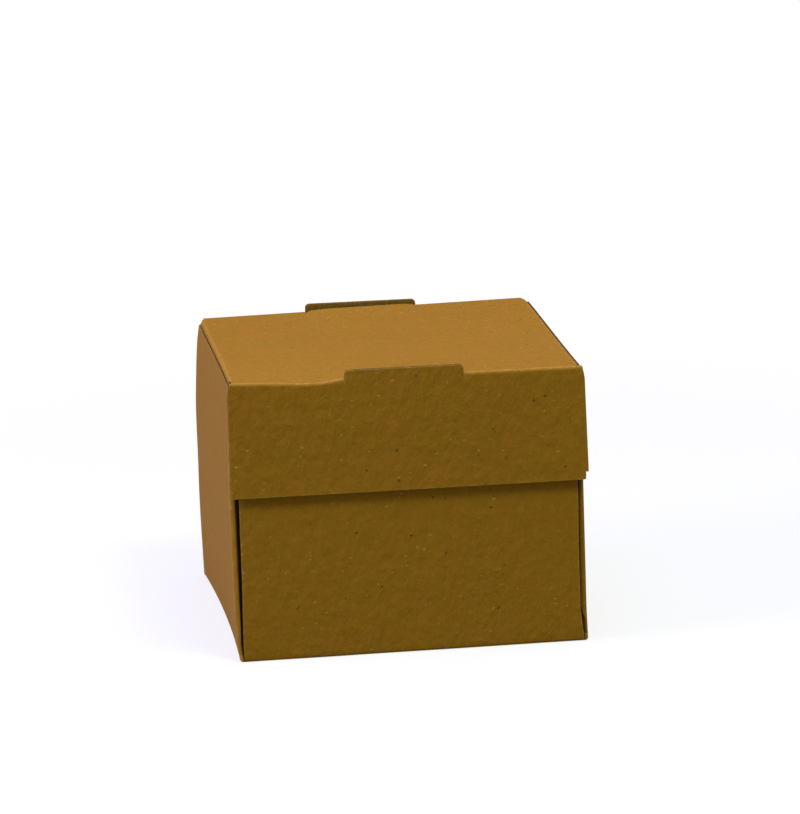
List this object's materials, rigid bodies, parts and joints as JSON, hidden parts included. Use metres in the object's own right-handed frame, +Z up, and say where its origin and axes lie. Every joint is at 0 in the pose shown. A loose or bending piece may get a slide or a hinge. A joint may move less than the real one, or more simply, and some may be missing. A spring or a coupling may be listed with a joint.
{
  "type": "hamburger box",
  "caption": "Small square box of folded corrugated board with a back-hinged lid, tucked sides, a front flap that hangs outside, and a stand-up tab and vent at each lid fold.",
  "frame": {"origin": "middle of the underside of the bottom panel, on the surface that the box stands on", "axes": "+X to the right seen from the front, +Y from the front wall to the back wall, +Z up"},
  "size_m": [0.1131, 0.1117, 0.0911],
  "materials": {
    "kraft_board": "uncoated brown kraft board, matt, with fine fibre specks"
  },
  "bodies": {
    "tray": {"tray": "kraft_board"},
    "lid": {"lid": "kraft_board"},
    "front_flap": {"front_flap": "kraft_board"}
  },
  "joints": [
    {"name": "lid_hinge", "type": "hinge", "parent": "tray", "child": "lid", "pos_m": [0, 0.055, 0.0882], "axis": [-1, 0, 0], "range_deg": [0, 175]},
    {"name": "flap_hinge", "type": "hinge", "parent": "lid", "child": "front_flap", "pos_m": [0, -0.0567, 0.0882], "axis": [-1, 0, 0], "range_deg": [0, 90]}
  ]
}
